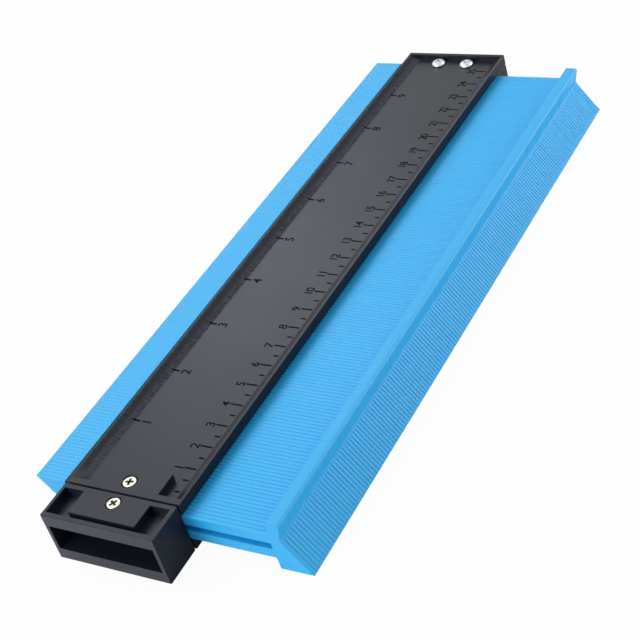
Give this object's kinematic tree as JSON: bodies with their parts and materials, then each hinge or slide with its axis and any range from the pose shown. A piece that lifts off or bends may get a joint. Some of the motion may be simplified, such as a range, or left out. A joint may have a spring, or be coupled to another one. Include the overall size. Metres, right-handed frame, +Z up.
{
  "type": "contour gauge",
  "caption": "Contour gauge: a comb of flat plastic teeth with hooked heads that slide across a ruled plastic frame to copy an outline.",
  "frame": {"origin": "centre of the frame's underside, half way along the frame", "axes": "+X the way the teeth stand out at rest, +Y along the frame towards the end with two pan head screws, +Z up through the ruled face"},
  "size_m": [0.1, 0.282, 0.0197],
  "materials": {
    "frame_plastic": "fine grained black moulded plastic",
    "tooth_plastic": "satin sky blue moulded plastic",
    "screw_steel": "bright zinc plated steel",
    "bar_steel": "plain rolled steel strip"
  },
  "bodies": {
    "frame": {"top_cover": "frame_plastic", "bottom_cover": "frame_plastic", "near_end_block": "frame_plastic", "far_end_block": "frame_plastic", "guide_bar": "bar_steel", "joining_plate": "bar_steel", "block_screw": "screw_steel", "cover_screw": "screw_steel", "far_screw_left": "screw_steel", "far_screw_right": "screw_steel"},
    "teeth_01": {"tooth_pack_01": "tooth_plastic"},
    "teeth_02": {"tooth_pack_02": "tooth_plastic"},
    "teeth_03": {"tooth_pack_03": "tooth_plastic"},
    "teeth_04": {"tooth_pack_04": "tooth_plastic"},
    "teeth_05": {"tooth_pack_05": "tooth_plastic"},
    "teeth_06": {"tooth_pack_06": "tooth_plastic"},
    "teeth_07": {"tooth_pack_07": "tooth_plastic"},
    "teeth_08": {"tooth_pack_08": "tooth_plastic"},
    "teeth_09": {"tooth_pack_09": "tooth_plastic"},
    "teeth_10": {"tooth_pack_10": "tooth_plastic"},
    "teeth_11": {"tooth_pack_11": "tooth_plastic"},
    "teeth_12": {"tooth_pack_12": "tooth_plastic"},
    "teeth_13": {"tooth_pack_13": "tooth_plastic"},
    "teeth_14": {"tooth_pack_14": "tooth_plastic"},
    "teeth_15": {"tooth_pack_15": "tooth_plastic"},
    "teeth_16": {"tooth_pack_16": "tooth_plastic"},
    "teeth_17": {"tooth_pack_17": "tooth_plastic"},
    "teeth_18": {"tooth_pack_18": "tooth_plastic"},
    "teeth_19": {"tooth_pack_19": "tooth_plastic"},
    "teeth_20": {"tooth_pack_20": "tooth_plastic"},
    "teeth_21": {"tooth_pack_21": "tooth_plastic"},
    "teeth_22": {"tooth_pack_22": "tooth_plastic"},
    "teeth_23": {"tooth_pack_23": "tooth_plastic"},
    "teeth_24": {"tooth_pack_24": "tooth_plastic"},
    "teeth_25": {"tooth_pack_25": "tooth_plastic"},
    "teeth_26": {"tooth_pack_26": "tooth_plastic"},
    "teeth_27": {"tooth_pack_27": "tooth_plastic"},
    "teeth_28": {"tooth_pack_28": "tooth_plastic"},
    "teeth_29": {"tooth_pack_29": "tooth_plastic"},
    "teeth_30": {"tooth_pack_30": "tooth_plastic"},
    "teeth_31": {"tooth_pack_31": "tooth_plastic"},
    "teeth_32": {"tooth_pack_32": "tooth_plastic"},
    "teeth_33": {"tooth_pack_33": "tooth_plastic"},
    "teeth_34": {"tooth_pack_34": "tooth_plastic"},
    "teeth_35": {"tooth_pack_35": "tooth_plastic"},
    "teeth_36": {"tooth_pack_36": "tooth_plastic"},
    "teeth_37": {"tooth_pack_37": "tooth_plastic"},
    "teeth_38": {"tooth_pack_38": "tooth_plastic"},
    "teeth_39": {"tooth_pack_39": "tooth_plastic"},
    "teeth_40": {"tooth_pack_40": "tooth_plastic"},
    "teeth_41": {"tooth_pack_41": "tooth_plastic"},
    "teeth_42": {"tooth_pack_42": "tooth_plastic"},
    "teeth_43": {"tooth_pack_43": "tooth_plastic"}
  },
  "joints": [
    {"name": "teeth_01_slide", "type": "slide", "parent": "frame", "child": "teeth_01", "axis": [1, 0, 0], "range_m": [-0.0308, 0]},
    {"name": "teeth_02_slide", "type": "slide", "parent": "frame", "child": "teeth_02", "axis": [1, 0, 0], "range_m": [-0.0308, 0]},
    {"name": "teeth_03_slide", "type": "slide", "parent": "frame", "child": "teeth_03", "axis": [1, 0, 0], "range_m": [-0.0308, 0]},
    {"name": "teeth_04_slide", "type": "slide", "parent": "frame", "child": "teeth_04", "axis": [1, 0, 0], "range_m": [-0.0308, 0]},
    {"name": "teeth_05_slide", "type": "slide", "parent": "frame", "child": "teeth_05", "axis": [1, 0, 0], "range_m": [-0.0308, 0]},
    {"name": "teeth_06_slide", "type": "slide", "parent": "frame", "child": "teeth_06", "axis": [1, 0, 0], "range_m": [-0.0308, 0]},
    {"name": "teeth_07_slide", "type": "slide", "parent": "frame", "child": "teeth_07", "axis": [1, 0, 0], "range_m": [-0.0308, 0]},
    {"name": "teeth_08_slide", "type": "slide", "parent": "frame", "child": "teeth_08", "axis": [1, 0, 0], "range_m": [-0.0308, 0]},
    {"name": "teeth_09_slide", "type": "slide", "parent": "frame", "child": "teeth_09", "axis": [1, 0, 0], "range_m": [-0.0308, 0]},
    {"name": "teeth_10_slide", "type": "slide", "parent": "frame", "child": "teeth_10", "axis": [1, 0, 0], "range_m": [-0.0308, 0]},
    {"name": "teeth_11_slide", "type": "slide", "parent": "frame", "child": "teeth_11", "axis": [1, 0, 0], "range_m": [-0.0308, 0]},
    {"name": "teeth_12_slide", "type": "slide", "parent": "frame", "child": "teeth_12", "axis": [1, 0, 0], "range_m": [-0.0308, 0]},
    {"name": "teeth_13_slide", "type": "slide", "parent": "frame", "child": "teeth_13", "axis": [1, 0, 0], "range_m": [-0.0308, 0]},
    {"name": "teeth_14_slide", "type": "slide", "parent": "frame", "child": "teeth_14", "axis": [1, 0, 0], "range_m": [-0.0308, 0]},
    {"name": "teeth_15_slide", "type": "slide", "parent": "frame", "child": "teeth_15", "axis": [1, 0, 0], "range_m": [-0.0308, 0]},
    {"name": "teeth_16_slide", "type": "slide", "parent": "frame", "child": "teeth_16", "axis": [1, 0, 0], "range_m": [-0.0308, 0]},
    {"name": "teeth_17_slide", "type": "slide", "parent": "frame", "child": "teeth_17", "axis": [1, 0, 0], "range_m": [-0.0308, 0]},
    {"name": "teeth_18_slide", "type": "slide", "parent": "frame", "child": "teeth_18", "axis": [1, 0, 0], "range_m": [-0.0308, 0]},
    {"name": "teeth_19_slide", "type": "slide", "parent": "frame", "child": "teeth_19", "axis": [1, 0, 0], "range_m": [-0.0308, 0]},
    {"name": "teeth_20_slide", "type": "slide", "parent": "frame", "child": "teeth_20", "axis": [1, 0, 0], "range_m": [-0.0308, 0]},
    {"name": "teeth_21_slide", "type": "slide", "parent": "frame", "child": "teeth_21", "axis": [1, 0, 0], "range_m": [-0.0308, 0]},
    {"name": "teeth_22_slide", "type": "slide", "parent": "frame", "child": "teeth_22", "axis": [1, 0, 0], "range_m": [-0.0308, 0]},
    {"name": "teeth_23_slide", "type": "slide", "parent": "frame", "child": "teeth_23", "axis": [1, 0, 0], "range_m": [-0.0308, 0]},
    {"name": "teeth_24_slide", "type": "slide", "parent": "frame", "child": "teeth_24", "axis": [1, 0, 0], "range_m": [-0.0308, 0]},
    {"name": "teeth_25_slide", "type": "slide", "parent": "frame", "child": "teeth_25", "axis": [1, 0, 0], "range_m": [-0.0308, 0]},
    {"name": "teeth_26_slide", "type": "slide", "parent": "frame", "child": "teeth_26", "axis": [1, 0, 0], "range_m": [-0.0308, 0]},
    {"name": "teeth_27_slide", "type": "slide", "parent": "frame", "child": "teeth_27", "axis": [1, 0, 0], "range_m": [-0.0308, 0]},
    {"name": "teeth_28_slide", "type": "slide", "parent": "frame", "child": "teeth_28", "axis": [1, 0, 0], "range_m": [-0.0308, 0]},
    {"name": "teeth_29_slide", "type": "slide", "parent": "frame", "child": "teeth_29", "axis": [1, 0, 0], "range_m": [-0.0308, 0]},
    {"name": "teeth_30_slide", "type": "slide", "parent": "frame", "child": "teeth_30", "axis": [1, 0, 0], "range_m": [-0.0308, 0]},
    {"name": "teeth_31_slide", "type": "slide", "parent": "frame", "child": "teeth_31", "axis": [1, 0, 0], "range_m": [-0.0308, 0]},
    {"name": "teeth_32_slide", "type": "slide", "parent": "frame", "child": "teeth_32", "axis": [1, 0, 0], "range_m": [-0.0308, 0]},
    {"name": "teeth_33_slide", "type": "slide", "parent": "frame", "child": "teeth_33", "axis": [1, 0, 0], "range_m": [-0.0308, 0]},
    {"name": "teeth_34_slide", "type": "slide", "parent": "frame", "child": "teeth_34", "axis": [1, 0, 0], "range_m": [-0.0308, 0]},
    {"name": "teeth_35_slide", "type": "slide", "parent": "frame", "child": "teeth_35", "axis": [1, 0, 0], "range_m": [-0.0308, 0]},
    {"name": "teeth_36_slide", "type": "slide", "parent": "frame", "child": "teeth_36", "axis": [1, 0, 0], "range_m": [-0.0308, 0]},
    {"name": "teeth_37_slide", "type": "slide", "parent": "frame", "child": "teeth_37", "axis": [1, 0, 0], "range_m": [-0.0308, 0]},
    {"name": "teeth_38_slide", "type": "slide", "parent": "frame", "child": "teeth_38", "axis": [1, 0, 0], "range_m": [-0.0308, 0]},
    {"name": "teeth_39_slide", "type": "slide", "parent": "frame", "child": "teeth_39", "axis": [1, 0, 0], "range_m": [-0.0308, 0]},
    {"name": "teeth_40_slide", "type": "slide", "parent": "frame", "child": "teeth_40", "axis": [1, 0, 0], "range_m": [-0.0308, 0]},
    {"name": "teeth_41_slide", "type": "slide", "parent": "frame", "child": "teeth_41", "axis": [1, 0, 0], "range_m": [-0.0308, 0]},
    {"name": "teeth_42_slide", "type": "slide", "parent": "frame", "child": "teeth_42", "axis": [1, 0, 0], "range_m": [-0.0308, 0]},
    {"name": "teeth_43_slide", "type": "slide", "parent": "frame", "child": "teeth_43", "axis": [1, 0, 0], "range_m": [-0.0308, 0]}
  ]
}
